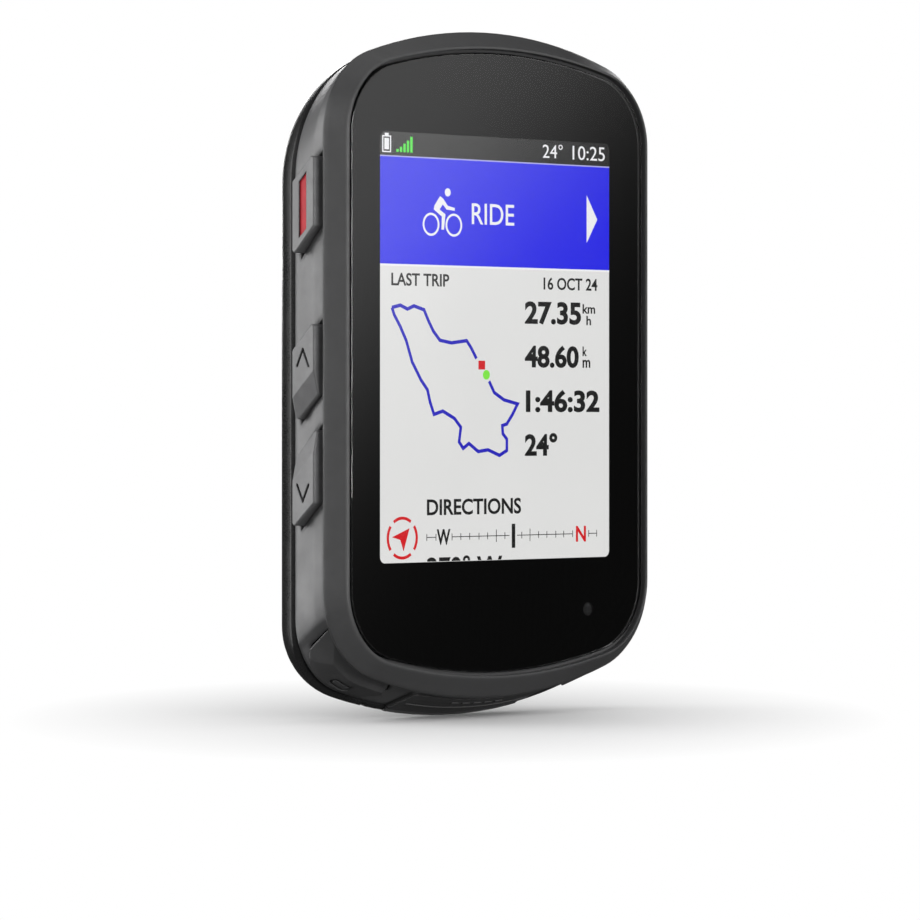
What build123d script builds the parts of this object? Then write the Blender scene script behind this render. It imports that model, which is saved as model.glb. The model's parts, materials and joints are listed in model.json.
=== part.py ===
from build123d import *
import os
from math import cos, radians, sin, sqrt

# Handlebar cycling computer, modelled upright with the screen facing -Y, +Z up and +X to the
# right as seen from the front.  The origin is the centre of the quarter-turn boss's end face.
# Depths are measured back from the front face of the cover lens.  All sizes are in millimetres.

# ---------------------------------------------------------------- driving dimensions
lens_front = -19.3            # Y of the cover lens front face; the boss ends at Y = 0
rim_depth = -0.3              # the bezel rim stands proud of the lens
bezel_depth = 2.0             # rear edge of the bezel's sloping flank
tongue_depth = 3.2            # end of the bezel's tongue inside the side frame
split_depth = 8.6             # seam between side frame and rear case
back_depth = 15.3             # flat back of the rear case
boss_depth = 19.3             # end face of the quarter-turn boss

back_round = 7.7              # rounding between the sides and the flat back
case_wall = 1.5               # rear case wall

# outlines: half width, top, bottom, top corner radius, bottom corner radius, top arc, bottom arc
lens_outline = (25.4, 39.95, -36.75, 8.8, 8.8, 80, 80)
rim_outline = (26.15, 40.65, -37.5, 9.3, 9.5, 78, 78)
bezel_outline = (28.2, 42.65, -40.1, 10.8, 11.1, 67, 66)
neck_outline = (27.4, 41.9, -39.4, 10.8, 11.0, 69, 66)
shoulder_outline = (27.55, 41.85, -39.9, 11.5, 11.2, 72, 66)
band_outline = (27.6, 41.7, -40.6, 13.0, 11.3, 78, 66)
seam_outline = (27.05, 40.85, -42.0, 16.3, 9.8, 90, 68)
rear_outline = (27.1, 40.9, -42.5, 16.7, 9.3, 90, 72)
cavity_outline = (25.1, 39.2, -38.1, 15.0, 8.8, 80, 63.5)    # inside the side frame
shoulder_depth = 2.7          # end of the hollow between bezel and band
band_depth = 4.2              # fullest part of the side band
groove = 0.5                  # dark gap between lens and bezel
seam_bevel = 0.45             # on both sides of the seam between frame and case
seal_insets, seal_depth = (0.9, 1.6), 0.4    # the case seal, in from the seam

display_x, display_z = 0.0, 3.35
display_w, display_h = 40.1, 52.5
lens_thick = 1.1
film_thick = 0.1
ledge_depth = 1.25            # step in the bezel that carries the lens
sensor_x, sensor_z, sensor_radius = 16.1, -29.45, 0.85

# side buttons
button_face = 28.9            # half width over the side buttons
button_root = 26.9            # inner face of a side cap
button_front, button_back = 2.8, 6.8
button_axis = 4.8             # depth of the button posts
button_travel = 0.35
button_gap = 0.12             # gap around a cap in its pocket
button_lean = 0.75            # how far the sloping end of a cap falls away
lean_share = 0.34             # part of the cap's length that slopes
cap_corner, cap_chamfer = 0.45, 0.15
mark_half, mark_line, mark_depth = 1.0, 0.16, 0.25    # the marks cut into the caps
up_mark, down_mark = 2.05, -14.3
inlay_back = 0.5              # depth of the power button's coloured stripe
inlay_front = 0.2
# the stripe's corners: depth, height
inlay_corners = [(4.2, 24.5), (5.5, 23.3), (5.5, 16.5), (4.2, 17.6)]
# front top, front low, back top, back low ends of each side cap
power_ends = (26.9, 17.95, 23.35, 14.1)
up_ends = (6.65, -2.45, 2.95, -5.95)
down_ends = (-6.05, -15.45, -10.05, -18.8)

# corner buttons, drawn square to their press direction from the corner's centre
corner_angle = 45.0
# (along the corner, depth) of the cap's corners
corner_cap = [(-4.8, 2.1), (7.0, 2.1), (9.2, 4.9), (7.8, 6.6), (0.3, 7.6), (-2.4, 6.5)]
corner_cap_front = 2.1        # where the cap's surface starts, and its distance from the frame's
cap_hollow, cap_crest, cap_swell = 1.0, 0.35, 0.35    # at its front, crest and back
# the sloping upper end of the cap: along, depth, distance from the corner's centre
hip = [(-4.0, 3.3, 9.8), (-1.7, 4.7, 11.2), (-2.3, 6.5, 11.7)]
corner_mark_along, corner_mark_depth = 4.0, 6.0
corner_cap_thick = 2.2
corner_wall = 3.6             # the side frame is thicker behind these caps
# the shallow recess round each lower corner: its floor, then where its ramp starts on the side
# (depth, X, Z), the ramp's slope, and where the recess ends on the bottom
recess_floor = [(shoulder_outline, 0.2, 1.5), (shoulder_outline, 0.3, 2.7), (band_outline, 0.45, 4.2),
                (seam_outline, 0.4, 8.3), (rear_outline, 0.4, 8.9), (rear_outline, -0.6, 10.0)]
recess_line = [(2.3, -26.8, -29.5), (9.0, -26.25, -33.4)]
recess_angle, recess_end = 48.0, 11.75

post_radius = 0.8
post_gap = 0.08
post_end = 23.6               # where a side post ends, short of its switch
corner_post_end = 7.5
switch_gap = 0.4              # between a post and its switch
corner_post_along = 0.6       # a corner post's place along its cap
seal_radius = 1.5
seal_thick = 0.7
nub_radius, nub_length = 0.6, 0.5
switch_thick, switch_depth, switch_length = 2.0, 1.6, 4.0

board_front, board_back = 5.6, 6.4
board_outline = (22.3, 36.6, -36.4, 9.0, 9.0, 80, 80)
chassis_front, chassis_back = 3.4, 3.9
# blocks on the board's rear face: left, right, height above the board, bottom, top
board_parts = {
    "processor_shield": (-15, 1, 1.4, 4, 24),
    "radio_shield": (3, 15, 1.4, -20, -4),
    "gps_antenna": (-6, 6, 3.0, 25.6, 36),
    "battery_plug": (-14, -9, 1.6, -26, -23.5),
    "buzzer": (5, 14, 2.0, -33.5, -24.5),
}
lead_left, lead_right, lead_z = -13.2, -9.8, -24.0
socket_half, socket_thick, socket_long, socket_wall = 4.47, 3.2, 7.2, 0.3

panel_half, panel_top, panel_bottom = 21.6, 31.2, -27.0
panel_front, panel_back, light_back = 1.2, 2.4, 3.2
flex_half, flex_thick = 7.0, 0.2

battery_w, battery_h, battery_z = 30.0, 46.0, 2.0
battery_front, battery_back = 8.0, 13.0
screw_x, screw_z = 16.5, 30.2
screw_boss_radius, web_half, web_up, web_down = 2.2, 1.2, 8.6, 8.4
screw_radius, screw_clearance, screw_grip = 0.7, 0.9, 1.8
screw_seat = 13.9             # depth of the case screws' heads
head_radius, head_gap, head_thick, hex_radius = 1.6, 0.15, 1.0, 0.7
vent_x, vent_z = -13.0, -24.0
tether_x, tether_z, tether_depth, tether_radius = -15.0, -39.9, 10.0, 0.4
tether_half, tether_slot, tether_cheek = 1.4, 0.4, 2.6
tether_front, tether_back = 9.0, 11.0

flap_half, flap_front, flap_back = 11.5, 3.4, 9.9
flap_thick, flap_proud = 0.75, 0.1
flap_lip, flap_lip_wide = 0.35, 0.6          # the flap is thinner along its free edge
flap_clear = 1.75             # its free edge swings out, so its gap there is this much wider
rib_front, rib_wide, rib_proud = 5.9, 0.3, 0.12       # the fine rib across the flap
grip_front, grip_back, grip_pitch, grip_long = 4.2, 4.6, 1.9, 1.2
port_top = -37.8
usb_x, usb_mouth = 0.5, -39.6
fit_gap = 0.2                 # between a plugged-in part and its opening
strap_thick, strap_front, strap_back = 0.2, 3.6, 6.4

boss_radius = 12.4
ear_radius, ear_half, ear_front = 15.4, 7.5, 17.6
notch_radius, notch_out = 1.3, 0.5       # the click notch in each ear's rim
mark_outer, mark_inner, mark_cut = 5.2, 4.4, 0.5      # ring cut in the boss's end face
mount_screw_x, mount_screw_z, mount_screw_radius = 7.6, 4.5, 0.6
mount_head_radius, mount_head_gap, mount_head_front, mount_head_back = 1.25, 0.1, 1.1, 0.2


# ---------------------------------------------------------------- helpers
def y_at(depth):
    """Y of a depth behind the lens front."""
    return lens_front + depth


def outline(half_w, top, bottom, top_corner, bottom_corner, top_arc, bottom_arc):
    """Straight sides, gently arched ends and round corners, drawn in X and Z."""
    top_side = top - top_arc + sqrt(top_arc**2 - half_w**2)
    bottom_side = bottom + bottom_arc - sqrt(bottom_arc**2 - half_w**2)
    edges = [
        ThreePointArc((-half_w, top_side), (0, top), (half_w, top_side)),
        Line((half_w, top_side), (half_w, bottom_side)),
        ThreePointArc((half_w, bottom_side), (0, bottom), (-half_w, bottom_side)),
        Line((-half_w, bottom_side), (-half_w, top_side)),
    ]
    face = make_face(Curve() + edges)
    face = fillet(face.vertices().sort_by(Axis.Y)[-2:], top_corner)
    return fillet(face.vertices().sort_by(Axis.Y)[:2], bottom_corner)


def inset(shape, distance):
    """The same outline, smaller all round."""
    half_w, top, bottom, *radii = shape
    return (half_w - distance, top - distance, bottom + distance,
            *[radius - distance for radius in radii])


def facing(depth, x=0.0, z=0.0):
    """The plane at a depth, with X to the right and Z up, looking to the front."""
    return Plane((x, y_at(depth), z), x_dir=(1, 0, 0), z_dir=(0, -1, 0))


def slab(shape, front, back):
    """An outline with thickness, between two depths."""
    return extrude(facing(back) * outline(*shape), amount=back - front)


def taper(*stations):
    """A body through several (outline, depth) stations."""
    return loft([facing(depth) * outline(*shape) for shape, depth in stations], ruled=True)


def box(x0, x1, front, back, z0, z1):
    """A box between two X, two depths and two Z."""
    centre = ((x0 + x1) / 2, y_at((front + back) / 2), (z0 + z1) / 2)
    return Pos(*centre) * Box(x1 - x0, back - front, z1 - z0)


def rod(x, z, front, back, radius):
    """A round bar along the depth."""
    return extrude(facing(back, x, z) * Circle(radius), amount=back - front)


def ring(shape, outer, inner, front, back):
    """A closed band of an outline, between two insets."""
    return slab(inset(shape, outer), front, back) - slab(inset(shape, inner), front - 1, back + 1)


def mirrored(shape):
    return mirror(shape, about=Plane.YZ)


def middle(ends):
    return sum(ends) / len(ends)


parts = {}

# ---------------------------------------------------------------- outer blocks
band_block = taper((neck_outline, bezel_depth), (shoulder_outline, shoulder_depth),
                   (band_outline, band_depth), (seam_outline, split_depth - seam_bevel),
                   (inset(seam_outline, seam_bevel), split_depth))
round_start = back_depth - back_round - 0.1


def rounded_back(shape, back, radius):
    """A slab whose rear edge is rounded."""
    block = slab(shape, round_start, back)
    return fillet(block.faces().sort_by(Axis.Y)[-1].edges(), radius)


# the bevel at the seam is cut by a taper that clears the rest of the case
rear_block = rounded_back(rear_outline, back_depth, back_round) & taper(
    (inset(rear_outline, seam_bevel + 0.1), split_depth),
    (inset(rear_outline, -1), split_depth + seam_bevel + 1.1),
    (inset(rear_outline, -1), back_depth))
case_hollow = rounded_back(inset(rear_outline, case_wall), back_depth - case_wall, back_round - case_wall)


# ---------------------------------------------------------------- lens, bezel and display
def build_front():
    bezel = taper((inset(rim_outline, 0.15), rim_depth), (inset(rim_outline, -0.2), rim_depth + 0.2),
                  (inset(bezel_outline, 0.3), bezel_depth - 0.55),
                  (bezel_outline, bezel_depth - 0.15), (bezel_outline, bezel_depth))
    bezel = bezel + slab(inset(cavity_outline, fit_gap), bezel_depth, tongue_depth)
    bezel = bezel - slab(inset(lens_outline, -groove), rim_depth - 1, 0.6)
    bezel = bezel - slab(inset(lens_outline, -0.1), 0.6, ledge_depth)
    parts["front_bezel"] = bezel - slab(inset(lens_outline, 2.4), ledge_depth, tongue_depth)

    lens = slab(lens_outline, 0, lens_thick)
    parts["cover_lens"] = fillet(lens.faces().sort_by(Axis.Y)[0].edges(), 0.2)

    film_back = lens_thick + film_thick
    window = box(display_x - display_w / 2, display_x + display_w / 2, 1, 1.5,
                 display_z - display_h / 2, display_z + display_h / 2)
    film = slab(inset(lens_outline, 0.15), lens_thick, film_back)
    film = film - fillet(window.edges().filter_by(Axis.Y), 0.8)
    parts["lens_border_film"] = film - rod(sensor_x, sensor_z, 1, 1.5, sensor_radius)
    parts["lens_tape"] = ring(lens_outline, 0.2, 2.3, film_back, ledge_depth)

    panel = (-panel_half, panel_half, panel_front, panel_back, panel_bottom, panel_top)
    parts["display_panel"] = box(*panel)
    parts["backlight"] = box(-panel_half, panel_half, panel_back, light_back, panel_bottom + 2, panel_top)
    bend = panel_bottom - 1.6
    tail = box(-flex_half, flex_half, panel_back, panel_back + flex_thick, bend, panel_bottom + 2)
    tail = tail + box(-flex_half, flex_half, panel_back, board_front, bend, bend + flex_thick)
    tail = tail + box(-flex_half, flex_half, board_front - flex_thick, board_front,
                      panel_bottom - 5, bend + flex_thick)
    parts["display_flex"] = tail
    parts["light_sensor"] = rod(sensor_x, sensor_z, film_back, film_back + 0.7, 1.1)


# ---------------------------------------------------------------- side buttons (left)
def side_outline(ends, gap=0.0):
    """The slanted four-sided outline of a side cap, grown by a gap."""
    front_top, front_low, back_top, back_low = ends
    front, back = y_at(button_front - gap), y_at(button_back + gap)
    # the slanted ends stay parallel: more at their sharp corners, less at the blunt ones
    sharp, blunt = 1.35 * gap, 0.35 * gap
    return make_face(Polyline((front, front_top + sharp), (front, front_low - blunt),
                              (back, back_low - sharp), (back, back_top + blunt), close=True))


def side_prism(ends, near, far, gap=0.0):
    """That outline from one |X| to a larger one, on the left."""
    return extrude(Plane.YZ.offset(-far) * side_outline(ends, gap), amount=far - near)


def side_cap(ends, leaning=None):
    """A cap whose upper or lower third may fall away towards the band."""
    cap = side_prism(ends, button_root, button_face)
    cap = fillet(cap.edges().filter_by(Axis.X), cap_corner)
    if leaning:
        front_top, front_low, back_top, back_low = ends
        share = 1 - lean_share if leaning == "lower" else lean_share
        end = front_low if leaning == "lower" else front_top
        y0, y1 = y_at(button_front), y_at(button_back)
        fold = Vector(-button_face, y0, front_top + share * (front_low - front_top))
        along = Vector(-button_face, y1, back_top + share * (back_low - back_top)) - fold
        across = Vector(-button_face + button_lean, y0, end) - fold
        normal = along.cross(across)
        if normal.X > 0:
            normal = -normal
        cap = split(cap, bisect_by=Plane(fold, x_dir=along, z_dir=normal), keep=Keep.BOTTOM)
    tops = cap.faces().filter_by(lambda face: face.normal_at().X < -0.7)
    edges = [edge for face in tops for edge in face.edges()]
    rims = [edge for edge in edges if sum(edge.is_same(other) for other in edges) == 1]
    return chamfer(rims, cap_chamfer)


def side_rod(z, near, far, radius):
    """A round bar across the left wall, between two |X|."""
    start = Plane((-far, y_at(button_axis), z), z_dir=(1, 0, 0))
    return extrude(start * Circle(radius), amount=far - near)


def chevron(z, point_up):
    """The shallow arrow mark cut into a cap."""
    rise = mark_half if point_up else -mark_half
    y0 = y_at(button_axis)
    line = Polyline((y0 - mark_half, z - rise), (y0, z + rise), (y0 + mark_half, z - rise))
    mark = make_face(offset(line, mark_line, kind=Kind.ARC))
    return extrude(Plane.YZ.offset(-button_face) * mark, amount=mark_depth)


# ---------------------------------------------------------------- corner buttons (left)
band_half, _, band_bottom, _, band_corner, _, band_arc = band_outline
corner_x = band_corner - band_half
corner_z = band_bottom + band_arc - sqrt((band_arc - band_corner)**2 - corner_x**2)
corner_in = Vector(cos(radians(corner_angle)), 0, sin(radians(corner_angle)))
corner_along = Vector(sin(radians(corner_angle)), 0, -cos(radians(corner_angle)))


def corner_plane(radius, along=0.0, depth=0.0):
    """A plane square to the press direction, a radius out from the corner's centre."""
    origin = Vector(corner_x, y_at(depth), corner_z) - corner_in * radius + corner_along * along
    return Plane(origin, x_dir=corner_along, z_dir=corner_in)


def corner_prism(gap=0.0):
    """The corner cap's outline, run along its press direction."""
    middle_u = middle([u for u, d in corner_cap])
    middle_d = middle([d for u, d in corner_cap])
    points = []
    for u, d in corner_cap:
        grown_u = u + gap * (1 if u > middle_u else -1) * 1.4
        grown_d = d + gap * (1 if d > middle_d else -1)
        points.append((grown_u, -grown_d))
    plane = corner_plane(14)
    sketch = make_face(Polyline(*points, close=True))
    # the plane's own y runs to the front, so depths are negative along it
    if plane.y_dir.Y > 0:
        sketch = mirror(sketch, about=Plane.XZ)
    return extrude(plane * sketch, amount=12)


def corner_rod(radius, near, far):
    """A round bar along the press direction, between two distances from the centre."""
    end = corner_plane(far, corner_post_along, button_axis)
    return extrude(end * Circle(radius), amount=far - near)


def corner_skin(sink=0.0):
    """The block whose surface a corner cap follows, with a crest at the band's fullest line."""
    return taper((inset(neck_outline, cap_hollow + sink), corner_cap_front),
                 (inset(band_outline, sink - cap_crest), band_depth),
                 (inset(seam_outline, sink - cap_swell), split_depth - seam_bevel))


def corner_button():
    """A thick patch of that surface, with its upper end sloping away."""
    core = slab(inset(band_outline, corner_cap_thick), 0, split_depth)
    cap = (corner_skin() - core) & corner_prism()
    low, crest, back = [corner_plane(radius, along, depth).origin for along, depth, radius in hip]
    normal = (crest - low).cross(back - low)
    if normal.dot(corner_in) > 0:
        normal = -normal
    return split(cap, bisect_by=Plane(low, x_dir=crest - low, z_dir=normal), keep=Keep.BOTTOM)


def corner_mark(sketch):
    """A shallow mark cut into a corner cap, as deep as the arrow marks."""
    place = corner_plane(14, corner_mark_along, corner_mark_depth)
    return extrude(place * sketch, amount=6) - corner_skin(mark_depth)


def loop_mark():
    """A rounded loop, open at one end."""
    loop = SlotOverall(3.0, 1.4) - SlotOverall(3.0 - 4 * mark_line, 1.4 - 4 * mark_line)
    return loop - Pos(1.4, -0.4) * Rectangle(1.0, 0.8)


def play_mark():
    """A triangle pointing along the corner."""
    return Polygon((-0.8, -0.8), (-0.8, 0.8), (0.9, 0.0), align=None)


def corner_pocket():
    """The pocket round that cap, deep enough for its travel."""
    core = slab(inset(band_outline, corner_cap_thick + button_travel + 0.1), 0, split_depth)
    return corner_prism(button_gap) - core


# ---------------------------------------------------------------- side frame and rear case
def port_cut():
    """The opening in the bottom wall that leads to the connector."""
    return box(usb_x - 6, usb_x + 6, 5.7, 10.1, -45, port_top)


def flap_block(gap=0.0):
    """The flap's outline run up from below, as far as its curved inner face."""
    body = box(-flap_half - gap, flap_half + gap, flap_front - flap_clear * gap, flap_back + gap, -45, -38)
    body = fillet(body.edges().filter_by(Axis.Z), 0.8 + gap)
    depth = flap_thick + gap
    front_core = taper((inset(shoulder_outline, depth), bezel_depth),
                       (inset(shoulder_outline, depth), shoulder_depth),
                       (inset(band_outline, depth), band_depth), (inset(seam_outline, depth), split_depth))
    return body - front_core - slab(inset(rear_outline, depth), split_depth, back_depth)


def corner_recess():
    """The shallow recess round the lower left corner, let into the side frame and rear case."""
    start, end = [Vector(x, y_at(depth), z) for depth, x, z in recess_line]
    down = Vector(sin(radians(recess_angle)), 0, -cos(radians(recess_angle)))
    normal = (end - start).cross(down)
    if normal.X > 0:
        normal = -normal
    ramp = extrude(Plane(start, x_dir=end - start, z_dir=normal) * Rectangle(60, 60), amount=8)
    foot = box(-20, -recess_end, bezel_depth, 10, -46, -36)
    room = box(-40, -recess_end, bezel_depth - 0.2, 10, -50, -20)
    floor = taper(*[(inset(shape, amount), depth) for shape, amount, depth in recess_floor])
    return ((ramp + foot) & room) - floor


def screw_boss(x, z, front, back):
    """A screw boss tied to the nearer end wall by a web."""
    reach = web_up if z > 0 else -web_down
    web = box(x - web_half, x + web_half, front, back, min(z, z + reach), max(z, z + reach))
    return rod(x, z, front, back, screw_boss_radius) + web


def screw_places():
    return [(side * screw_x, end * screw_z) for side in (-1, 1) for end in (-1, 1)]


def build_frame():
    frame = band_block - slab(cavity_outline, 0, split_depth + 1)
    thick = corner_prism(1.0) & ring(band_outline, 0.5, corner_wall, tongue_depth + 0.1, split_depth)
    frame = frame + thick + mirrored(thick)
    for x, z in screw_places():
        frame = frame + (screw_boss(x, z, split_depth - screw_grip - 0.2, split_depth) & band_block)
    for x, z in screw_places():
        frame = frame - rod(x, z, split_depth - 2.5, split_depth + 1, screw_radius)
    frame = frame - ring(seam_outline, *seal_insets, split_depth - seal_depth, split_depth + 1)

    left = [corner_recess(), corner_pocket(), corner_rod(post_radius + post_gap, 6, 12),
            corner_rod(seal_radius, 6, corner_seal_far)]
    for ends in (power_ends, up_ends, down_ends):
        left.append(side_prism(ends, button_root - button_travel - 0.15, button_face, button_gap))
        left.append(side_rod(middle(ends), 20, button_face, post_radius + post_gap))
        left.append(side_rod(middle(ends), 20, side_seal_far, seal_radius))
    right = [mirrored(tool) for tool in left[:4] + left[7:]]
    for tool in left + right + [port_cut(), flap_block(fit_gap)]:
        frame = frame - tool
    parts["side_frame"] = frame


def build_case():
    case = rear_block - case_hollow
    for x, z in screw_places():
        case = case + (rod(x, z, split_depth, back_depth - 1, screw_boss_radius) & rear_block)
    cheeks = box(tether_x - tether_cheek, tether_x + tether_cheek, split_depth, 13.0, -44, -36.4)
    case = case + (cheeks & rear_block)
    for x, z in screw_places():
        case = case - rod(x, z, split_depth - 1, back_depth + 1, screw_clearance)
        case = case - rod(x, z, screw_seat, back_depth + 1, head_radius + head_gap)
    case = case - box(tether_x - tether_slot, tether_x + tether_slot, tether_front, tether_back, -45, -38.2)
    case = case - tether_pin()
    for x, z in mount_screw_places():
        case = case - rod(x, z, back_depth - 2, back_depth + 1, mount_screw_radius)
    case = case - rod(vent_x, vent_z, 12, back_depth + 1, 0.5)
    recess = corner_recess()
    for tool in (port_cut(), flap_block(fit_gap), recess, mirrored(recess)):
        case = case - tool
    parts["rear_case"] = case
    seal = ring(seam_outline, *seal_insets, split_depth - seal_depth, split_depth)
    parts["case_seal"] = seal - flap_block(fit_gap) - port_cut()
    parts["tether_bar"] = tether_pin()


def tether_pin():
    """The bar across the safety-tether slot."""
    start = Plane((tether_x - tether_half, y_at(tether_depth), tether_z), z_dir=(1, 0, 0))
    return extrude(start * Circle(tether_radius), amount=2 * tether_half)


side_seal_far = cavity_outline[0] + seal_thick
corner_seal_far = band_corner - corner_wall + seal_thick


# ---------------------------------------------------------------- quarter-turn mount
def mount_screw_places():
    return [(side * mount_screw_x, end * mount_screw_z) for side in (-1, 1) for end in (-1, 1)]


def build_mount():
    boss = rod(0, 0, back_depth, boss_depth, boss_radius)
    boss = boss - ring_groove()
    ears = rod(0, 0, ear_front, boss_depth, ear_radius)
    ears = ears & box(-ear_half, ear_half, ear_front, boss_depth, -20, 20)
    for end in (-1, 1):
        ears = ears - rod(0, end * (ear_radius + notch_out), ear_front - 1, boss_depth + 1, notch_radius)
    boss = boss + ears
    seat = boss_depth - mount_head_front
    screws = []
    for x, z in mount_screw_places():
        boss = boss - rod(x, z, back_depth - 1, boss_depth + 1, mount_screw_radius)
        boss = boss - rod(x, z, seat, boss_depth + 1, mount_head_radius + mount_head_gap)
        head = rod(x, z, seat, boss_depth - mount_head_back, mount_head_radius)
        head = head - rod(x, z, boss_depth - 0.7, boss_depth, 0.55)
        screws.append(rod(x, z, back_depth - 1.4, seat, mount_screw_radius) + head)
    parts["quarter_turn_mount"] = boss
    parts["mount_screws"] = Compound(children=solids_of(screws))


def ring_groove():
    """A shallow groove round the boss's end face."""
    return (rod(0, 0, boss_depth - mark_cut, boss_depth + 1, mark_outer)
            - rod(0, 0, boss_depth - mark_cut - 0.1, boss_depth + 2, mark_inner))


def build_case_screws():
    screws = []
    for x, z in screw_places():
        head = rod(x, z, screw_seat, screw_seat + head_thick, head_radius)
        head = head - rod(x, z, screw_seat + 0.4, screw_seat + 2, hex_radius)
        screws.append(rod(x, z, split_depth - screw_grip, screw_seat, screw_radius) + head)
    parts["case_screws"] = Compound(children=solids_of(screws))


# ---------------------------------------------------------------- inside
def build_inside():
    chassis = slab(inset(board_outline, 1.6), chassis_front, chassis_back)
    flex_slot = box(-flex_half - 1, flex_half + 1, 3, 4.2, panel_bottom - 4, panel_bottom + 1)
    parts["chassis_plate"] = chassis - flex_slot
    parts["main_board"] = slab(board_outline, board_front, board_back)
    for name, (left, right, tall, low, high) in board_parts.items():
        parts[name] = box(left, right, board_back, board_back + tall, low, high)
    parts["pressure_sensor"] = rod(vent_x + 3, vent_z - 5, board_back, board_back + 1.2, 1.6)

    strap = ring(cavity_outline, 0, strap_thick, strap_front, strap_back)
    parts["antenna_strap"] = strap & box(-20, 20, strap_front, strap_back, 30, 45)
    inner_back = back_depth - case_wall
    parts["pressure_vent"] = rod(vent_x, vent_z, inner_back - 0.3, inner_back, 1.6)

    low, high = battery_z - battery_h / 2, battery_z + battery_h / 2
    cell = box(-battery_w / 2, battery_w / 2, battery_front, battery_back, low, high)
    parts["battery"] = fillet(cell.edges().filter_by(Axis.Z), 1.2)
    parts["battery_pad"] = box(-12, 12, battery_back, inner_back, battery_z - 18, battery_z + 18)
    rise = box(lead_left, lead_right, board_back + 1.6, battery_back - 2, lead_z - 0.4, lead_z + 0.4)
    parts["battery_lead"] = rise + box(lead_left, lead_right, 10.0, 10.6, lead_z + 0.4, low)

    socket_back = board_back + socket_thick
    mouth_end = usb_mouth + socket_long
    shell = box(usb_x - socket_half, usb_x + socket_half, board_back, socket_back, usb_mouth, mouth_end)
    inner_half = socket_half - socket_wall
    hollow = box(usb_x - inner_half, usb_x + inner_half, board_back + socket_wall,
                 socket_back - socket_wall, usb_mouth - 1, mouth_end - 1.2)
    shell = fillet(shell.edges().filter_by(Axis.Z), 1.4)
    shell = shell - fillet(hollow.edges().filter_by(Axis.Z), 1.1)
    parts["usb_socket"] = shell + box(usb_x - 3.3, usb_x + 3.3, board_back + 1.25, board_back + 1.95,
                                      usb_mouth + 0.6, mouth_end - 1)


def build_flap():
    body = band_block + rear_block
    lowered = Pos(0, 0, -flap_proud) * body
    flap = flap_block() & lowered
    flap = flap - slab(inset(shoulder_outline, flap_lip), 0, flap_front + flap_lip_wide)
    plug = box(usb_x - 4.1, usb_x + 4.1, board_back + 0.4, board_back + 2.8, -44, usb_mouth - 0.15)
    flap = flap + (fillet(plug.edges().filter_by(Axis.Z), 0.9) & lowered)
    raised = box(1 - flap_half, flap_half - 1, rib_front, rib_front + rib_wide, -44, -39)
    for step in range(-2, 3):
        left = step * grip_pitch - grip_long / 2
        raised = raised + box(left, left + grip_long, grip_front, grip_back, -44, -39)
    raised = raised & flap_block() & (Pos(0, 0, -flap_proud - rib_proud) * body)
    parts["usb_flap"] = flap + raised


# ---------------------------------------------------------------- buttons, posts, seals, switches
def build_buttons():
    power = side_cap(power_ends)
    stripe = make_face(Polyline(*[(y_at(depth), z) for depth, z in inlay_corners], close=True))
    stripe_cut = extrude(Plane.YZ.offset(-button_face) * stripe, amount=inlay_back)
    parts["power_button"] = power - stripe_cut
    parts["power_inlay"] = extrude(Plane.YZ.offset(inlay_front - button_face) * stripe,
                                   amount=inlay_back - inlay_front)
    parts["up_button"] = side_cap(up_ends, "lower") - chevron(up_mark, True)
    parts["down_button"] = side_cap(down_ends, "upper") - chevron(down_mark, False)
    parts["enter_button"] = mirrored(side_cap(up_ends, "lower"))
    parts["back_button"] = mirrored(side_cap(down_ends, "upper"))
    corner_cap_solid = corner_button()
    parts["lap_button"] = corner_cap_solid - corner_mark(loop_mark())
    parts["start_button"] = mirrored(corner_cap_solid - corner_mark(play_mark()))

    cap_floor = band_corner - corner_cap_thick
    post = corner_rod(post_radius, corner_post_end, cap_floor) - parts["lap_button"]
    parts["lap_post"] = post
    parts["start_post"] = mirrored(post)
    sides = {"power": (power_ends, 1), "up": (up_ends, 1), "down": (down_ends, 1),
             "enter": (up_ends, -1), "back": (down_ends, -1)}
    seals, switches = [], []
    for name, (ends, side) in sides.items():
        z = middle(ends)
        post = side_rod(z, post_end, button_root, post_radius)
        seal = (side_rod(z, side_seal_far - seal_thick, side_seal_far, seal_radius)
                - side_rod(z, 20, 30, post_radius + post_gap))
        nub = post_end - switch_gap
        switch = side_rod(z, nub - nub_length, nub, nub_radius)
        switch = switch + Pos(-nub + nub_length + switch_thick / 2, y_at(button_axis), z) * Box(
            switch_thick, switch_depth, switch_length)
        if side < 0:
            post, seal, switch = mirrored(post), mirrored(seal), mirrored(switch)
        parts[name + "_post"] = post
        seals.append(seal)
        switches.append(switch)

    seal = (corner_rod(seal_radius, corner_seal_far - seal_thick, corner_seal_far)
            - corner_rod(post_radius + post_gap, 5, 14))
    nub = corner_post_end - switch_gap
    seat = corner_plane(nub - nub_length, corner_post_along, button_axis)
    switch = corner_rod(nub_radius, nub - nub_length, nub)
    switch = switch + extrude(seat * Rectangle(switch_length, switch_depth), amount=switch_thick)
    for shape in (seal, mirrored(seal)):
        seals.append(shape)
    for shape in (switch, mirrored(switch)):
        switches.append(shape)
    parts["button_seals"] = Compound(children=solids_of(seals))
    parts["button_switches"] = Compound(children=solids_of(switches))


def solids_of(shapes):
    return [solid for shape in shapes for solid in shape.solids()]


build_front()
build_frame()
build_case()
build_mount()
build_case_screws()
build_inside()
build_flap()
build_buttons()

os.makedirs("parts", exist_ok=True)
for name, shape in parts.items():
    export_step(shape, f"parts/{name}.step")
print(len(parts), "parts")
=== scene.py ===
import json
import math

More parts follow.
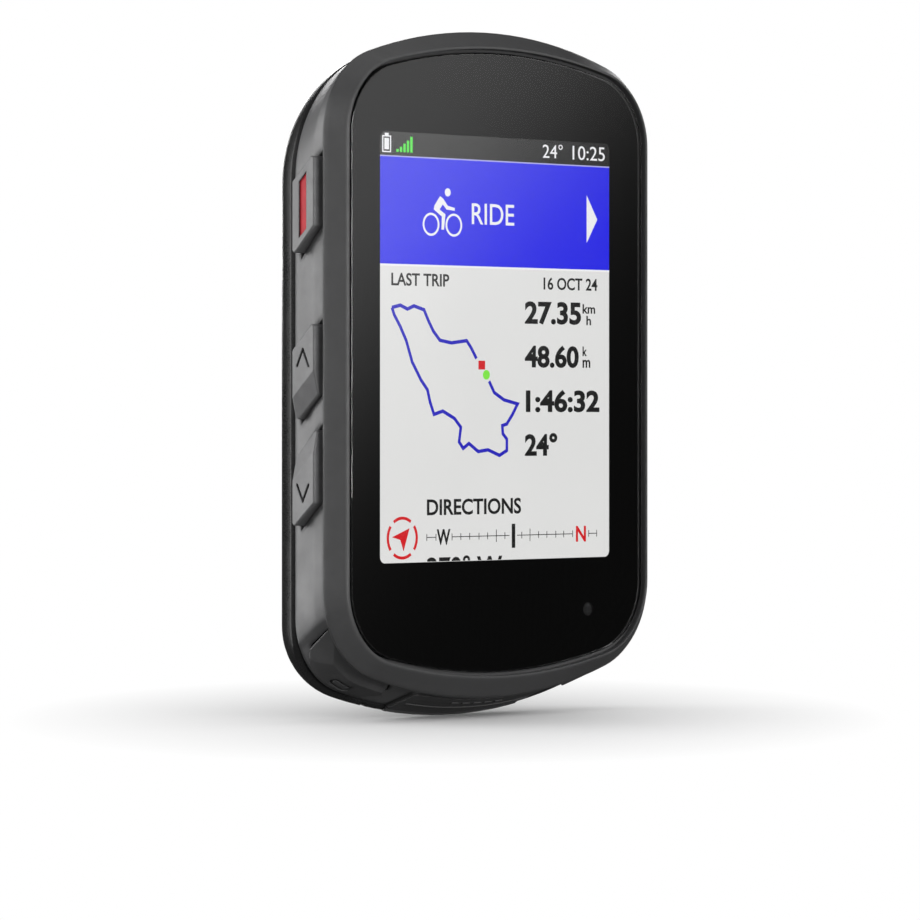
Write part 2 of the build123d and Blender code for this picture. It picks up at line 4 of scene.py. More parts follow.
import bmesh
import bpy
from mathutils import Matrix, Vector


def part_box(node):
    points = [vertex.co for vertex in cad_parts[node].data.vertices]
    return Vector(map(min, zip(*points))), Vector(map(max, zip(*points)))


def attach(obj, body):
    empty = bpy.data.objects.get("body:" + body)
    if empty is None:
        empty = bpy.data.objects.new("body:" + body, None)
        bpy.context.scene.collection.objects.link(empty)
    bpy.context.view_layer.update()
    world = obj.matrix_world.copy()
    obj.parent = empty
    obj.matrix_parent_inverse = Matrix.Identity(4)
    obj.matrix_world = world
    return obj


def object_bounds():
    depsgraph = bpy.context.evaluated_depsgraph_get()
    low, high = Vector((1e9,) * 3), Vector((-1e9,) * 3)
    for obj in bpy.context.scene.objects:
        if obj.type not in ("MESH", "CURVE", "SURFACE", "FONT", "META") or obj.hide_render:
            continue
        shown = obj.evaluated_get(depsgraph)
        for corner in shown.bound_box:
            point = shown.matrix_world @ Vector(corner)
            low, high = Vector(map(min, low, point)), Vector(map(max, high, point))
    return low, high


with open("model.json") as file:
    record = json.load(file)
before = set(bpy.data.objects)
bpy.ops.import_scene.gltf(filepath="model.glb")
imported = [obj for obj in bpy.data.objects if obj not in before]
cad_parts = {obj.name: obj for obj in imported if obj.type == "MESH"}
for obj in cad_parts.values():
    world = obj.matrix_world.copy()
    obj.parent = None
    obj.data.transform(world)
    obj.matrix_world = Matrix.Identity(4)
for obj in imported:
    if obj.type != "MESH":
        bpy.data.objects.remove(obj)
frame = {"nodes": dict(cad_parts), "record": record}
cad_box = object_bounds()
nodes = frame["nodes"]
MM = 0.001


# ---------------------------------------------------------------- camera
sensor_width = 36.0
lens_length = 184.34
view_turn = math.radians(44.3)
view_shift = -0.0505                         # the picture's centre lies this far below the level aim
eye = Vector((-0.41211, -0.43434, -0.0047))
aim = Vector((math.sin(view_turn), math.cos(view_turn), 0.0))


def add_camera():
    data = bpy.data.cameras.new("camera")
    data.sensor_width = sensor_width
    data.lens = lens_length
    data.shift_y = view_shift
    data.clip_start = 0.01
    data.clip_end = 20.0
    camera = bpy.data.objects.new("camera", data)
    camera.location = eye
    camera.rotation_mode = "QUATERNION"
    camera.rotation_quaternion = aim.to_track_quat("-Z", "Y")
    bpy.context.collection.objects.link(camera)
    bpy.context.scene.camera = camera
    bpy.context.scene.view_settings.view_transform = "Standard"


# ---------------------------------------------------------------- node helpers
outer_edge = (0.505, 0.56)                   # pointiness of a sharp edge, from faint to full
sunk_pointiness = (0.475, 0.498)                    # pointiness in sunk places, from full to faint black: the marks' fill and painted shade in creases


class Tree:
    """A material's node tree, with short calls for the nodes used here."""

    def __init__(self, name):
        self.material = bpy.data.materials.new(name)
        self.material.use_nodes = True
        self.nodes = self.material.node_tree.nodes
        self.links = self.material.node_tree.links
        self.shader = self.nodes["Principled BSDF"]
        self.place = self.nodes.new("ShaderNodeTexCoord").outputs["Object"]

    def link(self, source, target):
        self.links.new(source, target)

    def noise(self, size_mm, detail=2.0, rough=0.5, stretch=(1, 1, 1)):
        node = self.nodes.new("ShaderNodeTexNoise")
        node.inputs["Scale"].default_value = 1 / (size_mm * MM)
        node.inputs["Detail"].default_value = detail
        node.inputs["Roughness"].default_value = rough
        self.link(self.stretched(stretch), node.inputs["Vector"])
        return node.outputs["Fac"]

    def cells(self, size_mm):
        node = self.nodes.new("ShaderNodeTexVoronoi")
        node.inputs["Scale"].default_value = 1 / (size_mm * MM)
        self.link(self.place, node.inputs["Vector"])
        return node.outputs["Distance"]

    def stretched(self, stretch):
        if tuple(stretch) == (1, 1, 1):
            return self.place
        node = self.nodes.new("ShaderNodeMapping")
        node.inputs["Scale"].default_value = stretch
        self.link(self.place, node.inputs["Vector"])
        return node.outputs["Vector"]

    def spread(self, source, low, high, start=0.0, end=1.0):
        node = self.nodes.new("ShaderNodeMapRange")
        node.inputs["From Min"].default_value = start
        node.inputs["From Max"].default_value = end
        node.inputs["To Min"].default_value = low
        node.inputs["To Max"].default_value = high
        self.link(source, node.inputs["Value"])
        return node.outputs["Result"]

    def blend(self, factor, first, second):
        node = self.nodes.new("ShaderNodeMix")
        node.data_type = "RGBA"
        self.link(factor, node.inputs["Factor"])
        for value, socket in ((first, node.inputs[6]), (second, node.inputs[7])):
            if isinstance(value, bpy.types.NodeSocket):
                self.link(value, socket)
            else:
                socket.default_value = (*value, 1)
        return node.outputs[2]

    def maths(self, operation, first, second=0.0):
        node = self.nodes.new("ShaderNodeMath")
        node.operation = operation
        for value, socket in ((first, node.inputs[0]), (second, node.inputs[1])):
            if isinstance(value, bpy.types.NodeSocket):
                self.link(value, socket)
            else:
                socket.default_value = value
        return node.outputs[0]

    def bump(self, height, depth_mm, under=None):
        node = self.nodes.new("ShaderNodeBump")
        node.inputs["Strength"].default_value = 1.0
        node.inputs["Distance"].default_value = depth_mm * MM
        self.link(height, node.inputs["Height"])
        if under is not None:
            self.link(under, node.inputs["Normal"])
        return node.outputs["Normal"]

    def rounded(self, radius_mm):
        """Normals eased over edges, as a moulding's small radii ease them."""
        node = self.nodes.new("ShaderNodeBevel")
        node.samples = 6
        node.inputs["Radius"].default_value = radius_mm * MM
        return node.outputs["Normal"]

    def edge_wear(self):
        """High on sharp outer edges, broken up so that the wear isn't even."""
        geometry = self.nodes.new("ShaderNodeNewGeometry")
        edges = self.spread(geometry.outputs["Pointiness"], 0.0, 1.0, *outer_edge)
        return self.maths("MULTIPLY", edges, self.spread(self.noise(1.6, 3), 0.2, 1.0, 0.35, 0.65))

    def mark_fill_and_crease_shade(self):
        """High in cut marks and other sunk places: black fill in the marks, painted shade in the other
        creases.
        """
        geometry = self.nodes.new("ShaderNodeNewGeometry")
        return self.spread(geometry.outputs["Pointiness"], 1.0, 0.0, *sunk_pointiness)


def moulded(name, colour, roughness, grain_mm=0.16, grain_depth=0.004, specular=0.5, wear=0.25,
            edge_mm=0.0, filled_and_crease_shaded=False):
    """Spark-eroded moulded plastic or rubber: fine grain, faint flow mottle and rubbed edges.

    On a filled piece the cut marks are painted black as their fill, and other creases and sunk places take
    the same black as painted shade.
    """
    tree = Tree(name)
    worn = [min(1.0, channel * 1.9 + 0.02) for channel in colour]
    mottle = tree.blend(tree.noise(7.0, 3), [channel * 0.9 for channel in colour],
                        [channel * 1.1 for channel in colour])
    wear_mask = tree.maths("MULTIPLY", tree.edge_wear(), wear)
    surface = tree.blend(wear_mask, mottle, worn)
    if filled_and_crease_shaded:
        # black fill in the cut marks, and painted shade in every other crease
        surface = tree.blend(tree.mark_fill_and_crease_shade(), surface, (0.003, 0.003, 0.003))
    tree.link(surface, tree.shader.inputs["Base Color"])
    grain = tree.noise(grain_mm, 2, 0.6)
    rough = tree.maths("ADD", tree.spread(grain, -0.05, 0.05, 0.3, 0.7),
                       tree.spread(tree.noise(4.0, 4), roughness - 0.04, roughness + 0.05, 0.3, 0.7))
    tree.link(rough, tree.shader.inputs["Roughness"])
    fine = tree.bump(grain, grain_depth, tree.rounded(edge_mm) if edge_mm else None)
    tree.link(tree.bump(tree.noise(9.0, 1), 0.02, fine), tree.shader.inputs["Normal"])
    tree.shader.inputs["Specular IOR Level"].default_value = specular
    return tree.material


def metal(name, colour, roughness, brush=(1, 1, 12)):
    """Brushed or turned metal with fine scratches along one way."""
    tree = Tree(name)
    lines = tree.noise(0.12, 3, 0.6, brush)
    tint = tree.blend(tree.noise(2.5, 3), [channel * 0.86 for channel in colour], colour)
    tree.link(tint, tree.shader.inputs["Base Color"])
    tree.link(tree.spread(lines, roughness - 0.08, roughness + 0.1, 0.3, 0.7),
              tree.shader.inputs["Roughness"])
    tree.link(tree.bump(lines, 0.004), tree.shader.inputs["Normal"])
    tree.shader.inputs["Metallic"].default_value = 1.0
    return tree.material


def glass(name):
    """Clear cover glass with the faintest polish variation."""
    tree = Tree(name)
    tree.shader.inputs["Transmission Weight"].default_value = 1.0
    tree.shader.inputs["IOR"].default_value = 1.5
    tree.shader.inputs["Roughness"].default_value = 0.0
    smudge = tree.blend(tree.noise(11.0, 4), (0.985, 0.987, 0.99), (1, 1, 1))
    tree.link(smudge, tree.shader.inputs["Base Color"])
    return tree.material


cell_size, cell_unevenness = 0.07, 0.03      # mm, and the share by which one cell differs


def light_ink(name, colour):
    """A lit picture colour, with the display's fine cell grid and a slightly uneven backlight."""
    tree = Tree(name)
    tree.shader.inputs["Base Color"].default_value = (0.004, 0.004, 0.004, 1)
    tree.shader.inputs["Roughness"].default_value = 0.6
    tree.shader.inputs["Specular IOR Level"].default_value = 0.1
    grid = tree.spread(tree.cells(cell_size), 1.0 + cell_unevenness, 1.0 - cell_unevenness, 0.0, 0.8)
    level = tree.maths("MULTIPLY", grid, tree.spread(tree.noise(18.0, 1), 0.99, 1.01, 0.3, 0.7))
    dim = [channel * 0.5 for channel in colour]
    bright = [channel * 1.5 for channel in colour]
    tint = tree.blend(tree.maths("SUBTRACT", level, 0.5), dim, bright)
    tree.link(tint, tree.shader.inputs["Emission Color"])
    tree.shader.inputs["Emission Strength"].default_value = 1.0
    return tree.material


def board_mask(name):
    """Green solder mask over faint copper tracks."""
    tree = Tree(name)
    tracks = tree.spread(tree.noise(1.2, 0, 0.5, (1, 1, 0.25)), 0.0, 1.0, 0.48, 0.52)
    tree.link(tree.blend(tracks, (0.012, 0.1, 0.045), (0.02, 0.15, 0.06)), tree.shader.inputs["Base Color"])
    tree.link(tree.bump(tracks, 0.02), tree.shader.inputs["Normal"])
    tree.link(tree.spread(tree.noise(0.4, 2), 0.25, 0.38), tree.shader.inputs["Roughness"])
    return tree.material


def woven(name, colour):
    """Breathable membrane: a fine felted surface."""
    tree = Tree(name)
    fibres = tree.noise(0.08, 4, 0.7)
    tree.link(tree.blend(fibres, [channel * 0.75 for channel in colour], colour),
              tree.shader.inputs["Base Color"])
    tree.link(tree.bump(fibres, 0.02), tree.shader.inputs["Normal"])
    tree.shader.inputs["Roughness"].default_value = 0.9
    return tree.material


# ---------------------------------------------------------------- materials by record slot
grey = (1.0, 1.0, 1.02)


def shade(value):
    return [channel * value for channel in grey]


materials = {
    "lens_glass": glass("lens_glass"),
    "border_film": moulded("border_film", shade(0.002), 0.5, specular=0.1, wear=0.0),
    "adhesive": moulded("adhesive", shade(0.012), 0.8, 0.3, 0.02),
    "bezel_plastic": moulded("bezel_plastic", shade(0.045), 0.42, 0.14, 0.003, edge_mm=0.5),
    "frame_plastic": moulded("frame_plastic", shade(0.085), 0.45, 0.14, 0.003, edge_mm=1.0),
    "case_plastic": moulded("case_plastic", shade(0.009), 0.3, 0.18, 0.003, 0.25, edge_mm=0.4),
    "seal_rubber": moulded("seal_rubber", shade(0.02), 0.6),
    "display_glass": moulded("display_glass", shade(0.004), 0.3, specular=0.2, wear=0.0),
    "backlight_frame": moulded("backlight_frame", (0.75, 0.75, 0.72), 0.5),
    "flex_film": moulded("flex_film", (0.5, 0.22, 0.04), 0.35),
    "sensor_window": moulded("sensor_window", shade(0.01), 0.2),
    "chassis_steel": metal("chassis_steel", (0.55, 0.55, 0.56), 0.35, (12, 1, 1)),
    "circuit_board": board_mask("circuit_board"),
    "shield_steel": metal("shield_steel", (0.6, 0.6, 0.58), 0.3),
    "antenna_ceramic": moulded("antenna_ceramic", (0.7, 0.62, 0.5), 0.55, 0.3, 0.01),
    "battery_foil": metal("battery_foil", (0.6, 0.61, 0.64), 0.4, (6, 1, 1)),
    "foam_pad": moulded("foam_pad", shade(0.02), 0.9, 0.35, 0.06),
    "connector_plastic": moulded("connector_plastic", shade(0.03), 0.45),
    "lead_plastic": moulded("lead_plastic", (0.35, 0.02, 0.015), 0.5),
    "vent_membrane": woven("vent_membrane", (0.8, 0.8, 0.8)),
    "socket_steel": metal("socket_steel", (0.5, 0.5, 0.51), 0.28, (1, 1, 8)),
    "flap_rubber": moulded("flap_rubber", shade(0.03), 0.55, 0.2, 0.004),
    "fastener_steel": metal("fastener_steel", (0.32, 0.32, 0.33), 0.3, (4, 1, 4)),
    "mount_plastic": moulded("mount_plastic", shade(0.032), 0.5, 0.25, 0.01),
    "switch_steel": metal("switch_steel", (0.55, 0.53, 0.46), 0.3),
    "red_inlay": moulded("red_inlay", (0.42, 0.012, 0.022), 0.5, 0.12, 0.002, 0.2),
    "button_rubber": moulded("button_rubber", shade(0.1), 0.45, 0.12, 0.003, edge_mm=0.2, filled_and_crease_shaded=True),
    "corner_button_rubber": moulded("corner_button_rubber", shade(0.04), 0.42, 0.12, 0.003, edge_mm=0.25,
                                    filled_and_crease_shaded=True),
    "post_steel": metal("post_steel", (0.6, 0.6, 0.6), 0.25, (1, 1, 10)),
}


def dress_nodes():
    """Each CAD node takes its record slot's material."""
    for part in frame["record"]["subparts"]:
        piece = nodes[part["node"]]
        material = materials[part["material_slot"]]
        if not piece.material_slots:
            piece.data.materials.append(material)
        for slot in piece.material_slots:
            slot.material = material


# ---------------------------------------------------------------- the lit picture behind the glass
lens_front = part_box("cover_lens")[0].y
film_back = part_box("lens_border_film")[1].y
# places on the picture are (x, z) in millimetres from the frame's origin
window_half = 20.05
window_top, window_low = 29.6, -22.9
header_top, header_low = 26.57, 13.38
page_margin = 0.05                           # lettering cut off at the page's foot stops this far above it
sheet_thick, sheet_gap = 0.012, 0.004
ink_thick, ink_gap = 0.02, 0.006
sheet_y = film_back - (sheet_thick + sheet_gap) * MM
ink_y = sheet_y - (ink_thick + ink_gap) * MM

inks = {
    "page": light_ink("ink_page", (0.80, 0.80, 0.79)),
    "header": light_ink("ink_header", (0.010, 0.010, 0.83)),
    "dark": light_ink("ink_dark", (0.002, 0.002, 0.002)),
    "white": light_ink("ink_white", (0.92, 0.92, 0.94)),
    "black": light_ink("ink_black", (0.004, 0.004, 0.004)),
    "line": light_ink("ink_line", (0.42, 0.42, 0.80)),
    "green": light_ink("ink_green", (0.08, 0.80, 0.05)),
    "dot": light_ink("ink_dot", (0.22, 0.85, 0.06)),
    "red": light_ink("ink_red", (0.68, 0.006, 0.012)),
    "route": light_ink("ink_route", (0.012, 0.008, 0.52)),
}


def lit_piece(name, mesh, ink):
    piece = bpy.data.objects.new(name, mesh)
    bpy.context.collection.objects.link(piece)
    mesh.materials.clear()
    mesh.materials.append(inks[ink])
    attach(piece, "housing")
    return piece


def plates(outlines, front, thick):
    """Closed flat plates from (x, z) outlines in millimetres, facing the front."""
    made = bmesh.new()
    for points in outlines:
        ring = [made.verts.new((x * MM, front, z * MM)) for x, z in points]
        face = made.faces.new(ring)
        grown = bmesh.ops.extrude_face_region(made, geom=[face])
        moved = [item for item in grown["geom"] if isinstance(item, bmesh.types.BMVert)]
        bmesh.ops.translate(made, verts=moved, vec=(0, thick * MM, 0))
    bmesh.ops.triangulate(made, faces=[face for face in made.faces if len(face.verts) > 4])
    bmesh.ops.recalc_face_normals(made, faces=made.faces)
    mesh = bpy.data.meshes.new("plates")
    made.to_mesh(mesh)
    made.free()
    return mesh


def rectangle(left, right, low, high):
    return [(left, low), (right, low), (right, high), (left, high)]


def disc(x, z, radius, count=40):
    turns = [2 * math.pi * step / count for step in range(count)]
    return [(x + radius * math.cos(turn), z + radius * math.sin(turn)) for turn in turns]


def arc_band(x, z, outer, inner, start, end, count=16):
    """A stretch of a ring between two angles in degrees."""
    turns = [math.radians(start + (end - start) * step / count) for step in range(count + 1)]
    rim = [(x + outer * math.cos(turn), z + outer * math.sin(turn)) for turn in turns]
    hole = [(x + inner * math.cos(turn), z + inner * math.sin(turn)) for turn in reversed(turns)]
    return rim + hole


def stroke(points, width):
    """A mitred band of one width along a line, as one outline."""
    half = width / 2
    sides = ([], [])
    for index, point in enumerate(points):
        before = points[max(index - 1, 0)]
        after = points[min(index + 1, len(points) - 1)]
        into = Vector((point[0] - before[0], point[1] - before[1]))
        out = Vector((after[0] - point[0], after[1] - point[1]))
        into = into.normalized() if into.length else out.normalized()
        out = out.normalized() if out.length else into
        across = Vector((-into.y - out.y, into.x + out.x)).normalized()
        reach = half / max(0.45, across.dot(Vector((-out.y, out.x))))
        sides[0].append((point[0] + across.x * reach, point[1] + across.y * reach))
        sides[1].append((point[0] - across.x * reach, point[1] - across.y * reach))
    return sides[0] + sides[1][::-1]


def lettering(name, text, left, right, low, high, weight, ink):
    """Words or numbers fitted to a box on the picture; weight thickens the strokes."""
    curve = bpy.data.curves.new(name, "FONT")
    curve.body = text
    curve.offset = weight
    curve.extrude = 0.5
    curve.resolution_u = 4
    writer = bpy.data.objects.new(name + "_writer", curve)
    bpy.context.collection.objects.link(writer)
    bpy.context.view_layer.update()
    mesh = bpy.data.meshes.new_from_object(writer)
    bpy.data.objects.remove(writer)
    across = [vertex.co.x for vertex in mesh.vertices]
    up = [vertex.co.y for vertex in mesh.vertices]
    x_scale = (right - left) / (max(across) - min(across))
    z_scale = (high - low) / (max(up) - min(up))
    x_start, z_start = min(across), min(up)
    for vertex in mesh.vertices:
        x, z, depth = vertex.co.x, vertex.co.y, vertex.co.z
        vertex.co = ((left + (x - x_start) * x_scale) * MM, ink_y + (0.5 - depth) * ink_thick * MM,
                     (low + (z - z_start) * z_scale) * MM)
    made = bmesh.new()
    made.from_mesh(mesh)
    bmesh.ops.remove_doubles(made, verts=made.verts, dist=1e-7)
    bmesh.ops.recalc_face_normals(made, faces=made.faces)
    foot_z = (window_low + page_margin) * MM
    if low * MM < foot_z:
        cut = made.verts[:] + made.edges[:] + made.faces[:]
        kept = bmesh.ops.bisect_plane(made, geom=cut, plane_co=(0, 0, foot_z), plane_no=(0, 0, -1),
                                      clear_outer=True)
        rims = [item for item in kept["geom_cut"] if isinstance(item, bmesh.types.BMEdge)]
        bmesh.ops.contextual_create(made, geom=rims)
    made.to_mesh(mesh)
    made.free()
    return lit_piece(name, mesh, ink)


def drawing(name, outlines, ink):
    return lit_piece(name, plates(outlines, ink_y, ink_thick), ink)


def sheet(name, outline, ink):
    return lit_piece(name, plates([outline], sheet_y, sheet_thick), ink)


def draw_status():
    sheet("screen_status", rectangle(-window_half, window_half, header_top + 0.16, window_top), "dark")
    battery = [
        rectangle(-19.62, -19.44, 27.05, 29.1), rectangle(-18.32, -18.14, 27.05, 29.1),
        rectangle(-19.44, -18.32, 27.05, 27.2), rectangle(-19.44, -18.32, 28.95, 29.1),
        rectangle(-19.2, -18.56, 29.1, 29.4), rectangle(-19.25, -18.51, 27.4, 28.78)]
    drawing("screen_battery", battery, "white")
    bar_pitch, bar_width = 0.585, 0.38
    bars = [rectangle(-17.25 + step * bar_pitch, -17.25 + step * bar_pitch + bar_width, 27.15, height)
            for step, height in enumerate((27.5, 27.8, 28.2, 28.6, 29.08))]
    drawing("screen_signal", bars, "green")
    lettering("screen_temperature", "24°", 8.05, 11.61, 27.4, 29.15, 0.0, "white")
    lettering("screen_clock", "10:25", 13.41, 19.25, 27.35, 29.12, 0.0, "white")


def draw_header():
    sheet("screen_header", rectangle(-window_half, window_half, header_low + 0.12, header_top), "header")
    drawing("screen_header_line",
            [rectangle(-window_half, window_half, header_top - 0.02, header_top + 0.14)], "line")
    drawing("screen_header_edge",
            [rectangle(-window_half, window_half, header_low - 0.1, header_low + 0.14)], "white")
    lettering("screen_title", "RIDE", -4.4, 3.0, 18.72, 21.3, 0.004, "white")
    drawing("screen_next_arrow", [[(15.96, 16.92), (17.87, 19.9), (15.96, 22.9)]], "white")


def draw_rider():
    """A plain rider on a bicycle."""
    wheel_z = 18.5
    wheels = []
    for x in (-11.4, -7.5):
        wheels.append(arc_band(x, wheel_z, 1.42, 1.14, 0, 180, 20))
        wheels.append(arc_band(x, wheel_z, 1.42, 1.14, 180, 360, 20))
    body = [(-9.85, 22.0), (-9.35, 21.72), (-8.55, 20.85), (-7.35, 20.62), (-7.35, 20.28), (-8.75, 20.38),
            (-9.4, 21.0), (-9.95, 20.35), (-8.95, 19.8), (-9.2, 17.9), (-9.62, 17.9), (-9.55, 19.5),
            (-10.95, 20.35), (-10.8, 20.85)]
    drawing("screen_rider", wheels + [body, disc(-8.55, 22.5, 0.5)], "white")


def draw_route():
    """The last trip's track, with its two end marks."""
    outward = [(-18.0, 8.2), (-16.6, 8.5), (-15.4, 8.05), (-14.3, 8.45), (-12.6, 8.0), (-11.8, 6.6),
               (-11.0, 5.4), (-9.9, 4.3), (-7.9, 4.0), (-5.3, 4.3), (-4.5, 3.4), (-3.6, 2.1)]
    home = [(-1.4, -0.7), (-0.5, -2.1), (1.2, -3.0), (3.6, -3.5), (2.7, -4.8), (1.7, -6.0), (0.9, -6.2),
            (1.0, -7.2), (1.7, -7.9), (1.7, -9.3), (0.4, -9.9), (-1.6, -9.2), (-3.3, -9.4), (-4.9, -8.4),
            (-5.9, -9.0), (-6.6, -8.2), (-6.3, -6.4), (-7.4, -5.3), (-9.4, -4.4), (-10.9, -4.8),
            (-11.6, -3.2), (-12.0, -1.8), (-13.1, -0.6), (-14.6, 1.6), (-15.6, 4.2), (-16.6, 5.9),
            (-17.6, 7.3), (-18.0, 8.2)]
    drawing("screen_route_out", [stroke(outward, 0.44)], "route")
    drawing("screen_route_home", [stroke(home, 0.44)], "route")
    drawing("screen_route_end", [rectangle(-3.25, -2.1, 0.75, 1.85)], "red")
    drawing("screen_route_start", [disc(-1.88, 0.1, 0.6)], "dot")


def draw_numbers():
    lettering("screen_trip_label", "LAST TRIP", -18.1, -8.3, 10.88, 12.45, 0.018, "black")
    lettering("screen_trip_date", "16 OCT 24", 8.2, 17.9, 10.84, 12.4, 0.018, "black")
    bold = 0.034
    lettering("screen_speed", "27.35", 4.87, 14.93, 6.45, 9.35, bold, "black")
    lettering("screen_speed_unit", "km", 15.21, 17.49, 7.95, 9.15, 0.02, "black")
    lettering("screen_hour_unit", "h", 15.9, 16.74, 6.48, 7.67, 0.02, "black")
    lettering("screen_distance", "48.60", 4.87, 14.51, 1.03, 3.86, bold, "black")
    lettering("screen_distance_unit", "k", 15.21, 16.0, 2.56, 3.78, 0.02, "black")
    lettering("screen_metre_unit", "m", 15.21, 16.6, 1.08, 2.1, 0.02, "black")
    lettering("screen_time", "1:46:32", 5.06, 18.27, -4.55, -1.72, bold, "black")
    lettering("screen_heat", "24°", 4.87, 10.65, -10.0, -7.14, bold, "black")


def draw_directions():
    lettering("screen_directions", "DIRECTIONS", -12.1, 4.2, -17.2, -15.2, 0.022, "black")
    line_z, line_half = -19.88, 0.05
    short, tall = 0.42, 0.78
    marks = []
    for left, right, spots in ((-12.12, -10.56, (-12.12, -10.56)),
                               (-7.81, 2.15, (-7.81, -6.3, -4.77, -3.16, -1.66, -0.14, 1.36)),
                               (3.5, 13.41, (4.33, 5.79, 7.31, 8.79, 10.38, 11.8, 13.41)),
                               (16.32, 17.77, (16.32, 17.77))):
        marks.append(rectangle(left, right, line_z - line_half, line_z + line_half))
        for spot in spots:
            half = tall if spot in (-0.14, 5.79) else short
            marks.append(rectangle(spot - 0.05, spot + 0.05, line_z - half, line_z + half))
    drawing("screen_compass_tape", marks, "black")
    drawing("screen_compass_index", [rectangle(2.57, 3.17, -21.44, -18.44)], "black")
    lettering("screen_compass_w", "W", -10.43, -8.1, -20.86, -18.9, 0.024, "black")
    lettering("screen_compass_n", "N", 14.01, 15.82, -20.9, -18.9, 0.024, "red")
    lettering("screen_heading", "270° W", -12.1, 0.9, -25.0, -22.2, 0.02, "black")


def draw_finder():
    """The round direction finder in the corner."""
    x, z = -16.26, -19.88
    gap = 9.0
    arcs = [arc_band(x, z, 2.62, 2.24, start + gap, start + 90 - gap) for start in (45, 135, 225, 315)]
    needle = [(-15.05, -18.7), (-16.05, -21.5), (-16.6, -20.1), (-18.0, -19.75)]
    drawing("screen_finder", arcs + [needle], "red")


def draw_page():
    sheet("screen_page", rectangle(-window_half, window_half, window_low, header_low), "page")


# ---------------------------------------------------------------- floor and lights
floor_albedo = 0.85
floor_reach = 6.0
floor_foot = Vector((0.0, -0.01))
floor_oval = (0.055, 0.085)                  # metres across and along the view, out to plain white
room_front, room_back = 0.27, 0.05           # brightness of the room before and behind the object
room_fade = (-0.1, 0.5)                      # cosines to the aim between which it changes


def add_floor():
    """A pale floor that takes the soft shadow and fades to white further out."""
    mesh = bpy.data.meshes.new("floor")
    corners = ((-1, -1), (1, -1), (1, 1), (-1, 1))
    mesh.from_pydata([(x * floor_reach, y * floor_reach, 0) for x, y in corners], [], [(0, 1, 2, 3)])
    floor = bpy.data.objects.new("floor", mesh)
    floor.location = (floor_foot.x, floor_foot.y, cad_box[0].z)
    floor.rotation_euler = (0, 0, -view_turn)
    bpy.context.collection.objects.link(floor)
    tree = Tree("floor")
    tree.shader.inputs["Roughness"].default_value = 0.9
    tree.shader.inputs["Specular IOR Level"].default_value = 0.0
    tree.shader.inputs["Emission Color"].default_value = (1, 1, 1, 1)
    length = tree.nodes.new("ShaderNodeVectorMath")
    length.operation = "LENGTH"
    tree.link(tree.stretched((1 / floor_oval[0], 1 / floor_oval[1], 1)), length.inputs[0])
    away = tree.spread(length.outputs["Value"], 0.0, 1.0, 0.1, 1.0)
    paint = tree.blend(away, (floor_albedo,) * 3, (0, 0, 0))
    tree.link(paint, tree.shader.inputs["Base Color"])
    tree.link(away, tree.shader.inputs["Emission Strength"])
    mesh.materials.append(tree.material)
    floor.visible_diffuse = False
    floor.visible_glossy = False
    floor.visible_transmission = False


def add_world():
    """White to look at, but for light and reflections a dim grey room, darkest behind the object."""
    world = bpy.data.worlds.new("world")
    bpy.context.scene.world = world
    world.use_nodes = True
    tree = world.node_tree
    room = tree.nodes["Background"]
    room.inputs["Color"].default_value = (1, 1, 1, 1)
    where = tree.nodes.new("ShaderNodeTexCoord")
    ahead = tree.nodes.new("ShaderNodeVectorMath")
    ahead.operation = "DOT_PRODUCT"
    ahead.inputs[1].default_value = aim
    tree.links.new(where.outputs["Generated"], ahead.inputs[0])
    fade = tree.nodes.new("ShaderNodeMapRange")
    fade.inputs["From Min"].default_value = room_fade[0]
    fade.inputs["From Max"].default_value = room_fade[1]
    fade.inputs["To Min"].default_value = room_front
    fade.inputs["To Max"].default_value = room_back
    tree.links.new(ahead.outputs["Value"], fade.inputs["Value"])
    tree.links.new(fade.outputs["Result"], room.inputs["Strength"])
    seen = tree.nodes.new("ShaderNodeBackground")
    seen.inputs["Color"].default_value = (1, 1, 1, 1)
    path = tree.nodes.new("ShaderNodeLightPath")
    mix = tree.nodes.new("ShaderNodeMixShader")
    tree.links.new(path.outputs["Is Camera Ray"], mix.inputs["Fac"])
    tree.links.new(room.outputs["Background"], mix.inputs[1])
    tree.links.new(seen.outputs["Background"], mix.inputs[2])
    tree.links.new(mix.outputs["Shader"], tree.nodes["World Output"].inputs["Surface"])


light_target = Vector((0, -0.01, 0))
soft_boxes = (                               # name, place, width, height, radiance
    ("left_soft_box", (-0.45, 0.50, 0.05), 0.5, 0.7, 0.95),
    ("overhead_soft_box", (0.05, 0.05, 0.8), 0.9, 0.9, 0.07),
    ("front_left_fill", (-0.75, -0.35, 0.25), 0.5, 0.6, 0.3),
    ("front_right_fill", (0.6, -0.5, 0.3), 0.5, 0.5, 0.25),
    ("front_low_fill", (0.05, -0.8, 0.08), 0.6, 0.22, 1.6),
    ("back_right_fill", (0.65, 0.75, 0.2), 0.6, 0.35, 1.0),
)


def soft_light(name, place, width, height, radiance):
    """A rectangular soft box; its radiance is what a reflection of it shows."""
    data = bpy.data.lights.new(name, "AREA")
    data.shape = "RECTANGLE"
    data.size, data.size_y = width, height
    data.energy = 2 * math.pi**2 * width * height * radiance
    light = bpy.data.objects.new(name, data)
    light.location = place
    light.rotation_mode = "QUATERNION"
    light.rotation_quaternion = (light_target - Vector(place)).to_track_quat("-Z", "Y")
    bpy.context.collection.objects.link(light)


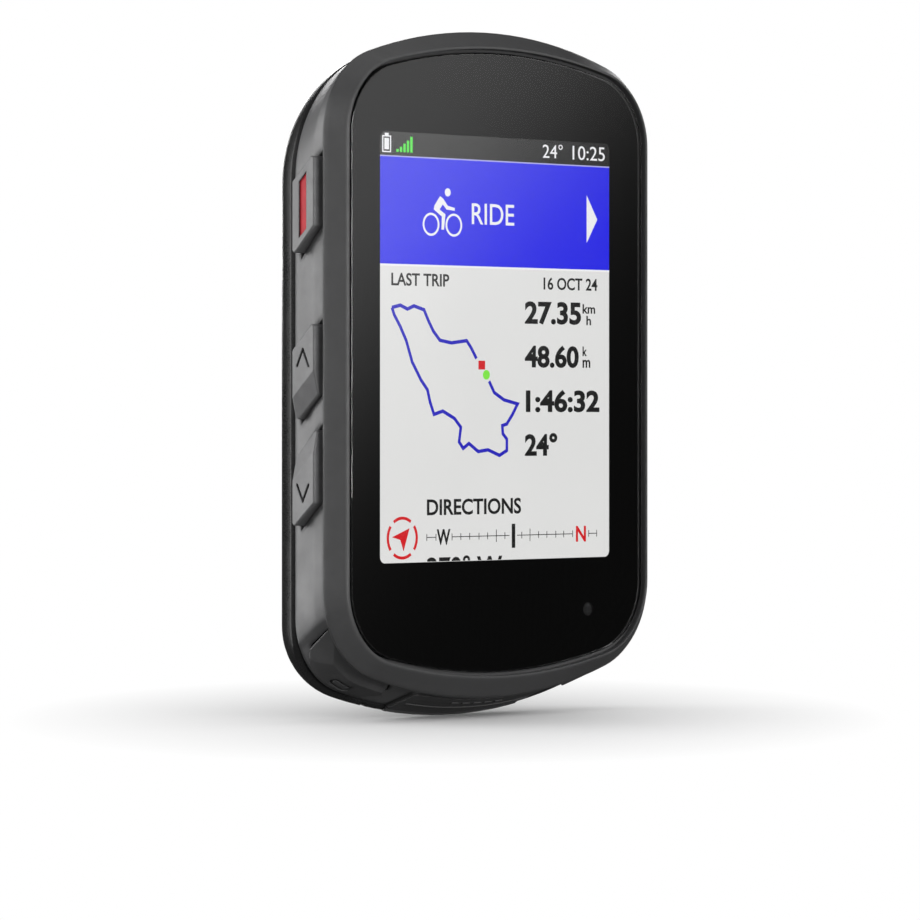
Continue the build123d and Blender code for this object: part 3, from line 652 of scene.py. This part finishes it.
card_distance = 0.5
card_half_wide, card_half_tall = 0.16, 0.22
card_peak, card_floor = 1.3, 0.06            # the sheen adds up to the first to the card's even glow
glass_to_card = 1.86                         # the card's picture is this much larger than on the glass
sheen_edge_mm = 9.5                          # softness of the sheen's edge, on the glass
sheen_middle_mm = 24.0                       # from the card's middle to the edge's, at the glass's scale
sheen_lean = 0.85                            # how much its edge leans across the glass
card_slope_z = 1000 / glass_to_card / sheen_edge_mm
card_slope_x = sheen_lean * card_slope_z / math.cos(view_turn)
card_shift = -sheen_middle_mm / sheen_edge_mm


def add_card():
    """A large graded card in front, which the glass mirrors as a soft sheen."""
    facing = Vector((-math.sin(view_turn), math.cos(view_turn), 0))
    centre = Vector((0, lens_front, 0)) - facing * card_distance
    mesh = bpy.data.meshes.new("card")
    corners = ((-1, -1), (1, -1), (1, 1), (-1, 1))
    mesh.from_pydata([(x * card_half_wide, 0, z * card_half_tall) for x, z in corners], [], [(0, 1, 2, 3)])
    card = bpy.data.objects.new("card", mesh)
    card.location = centre
    card.rotation_euler = (0, 0, math.atan2(-facing.x, facing.y))
    bpy.context.collection.objects.link(card)
    tree = Tree("card")
    apart = tree.nodes.new("ShaderNodeSeparateXYZ")
    tree.link(tree.place, apart.inputs[0])
    # across and up on the card, brought back to millimetres on the glass
    across = tree.maths("MULTIPLY", apart.outputs["X"], -card_slope_x)
    up = tree.maths("MULTIPLY", apart.outputs["Z"], card_slope_z)
    along = tree.maths("ADD", tree.maths("ADD", across, up), card_shift)
    fall = tree.maths("EXPONENT", tree.maths("MULTIPLY", along, -1.0))
    level = tree.maths("DIVIDE", card_peak, tree.maths("ADD", fall, 1.0))
    glow = tree.nodes.new("ShaderNodeEmission")
    tree.link(tree.maths("ADD", level, card_floor), glow.inputs["Strength"])
    tree.link(glow.outputs[0], tree.nodes["Material Output"].inputs["Surface"])
    mesh.materials.append(tree.material)
    card.visible_camera = False
    card.visible_diffuse = False
    card.visible_shadow = False


add_camera()
dress_nodes()
for draw in (draw_page, draw_status, draw_header, draw_rider, draw_route, draw_numbers, draw_directions,
             draw_finder):
    draw()
add_world()
add_floor()
add_card()
for soft_box in soft_boxes:
    soft_light(*soft_box)
